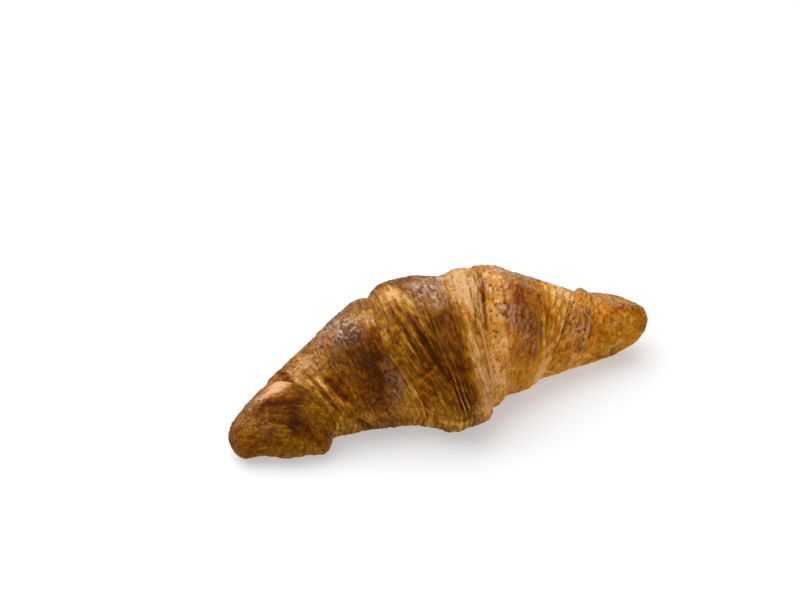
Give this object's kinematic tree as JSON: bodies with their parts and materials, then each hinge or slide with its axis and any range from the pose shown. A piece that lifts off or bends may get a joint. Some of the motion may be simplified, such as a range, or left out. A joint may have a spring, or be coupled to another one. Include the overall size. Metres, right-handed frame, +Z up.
{
  "type": "butter croissant",
  "caption": "Baked butter croissant with rolled flaky wraps swelling to a fat middle, blunt tips bent slightly forward, and a flat underside to rest on.",
  "frame": {"origin": "centre of the bounding box in X and Y, at the flat underside", "axes": "+X along the roll towards the far tip, -Y towards the front where the middle wrap bulges, +Z up"},
  "size_m": [0.165, 0.072, 0.0429],
  "materials": {
    "baked_crust": "egg-washed, well baked laminated dough, satin to glossy on the dark crowns, mat on the pale cut edges"
  },
  "bodies": {
    "root": {"croissant": "baked_crust"}
  },
  "joints": []
}
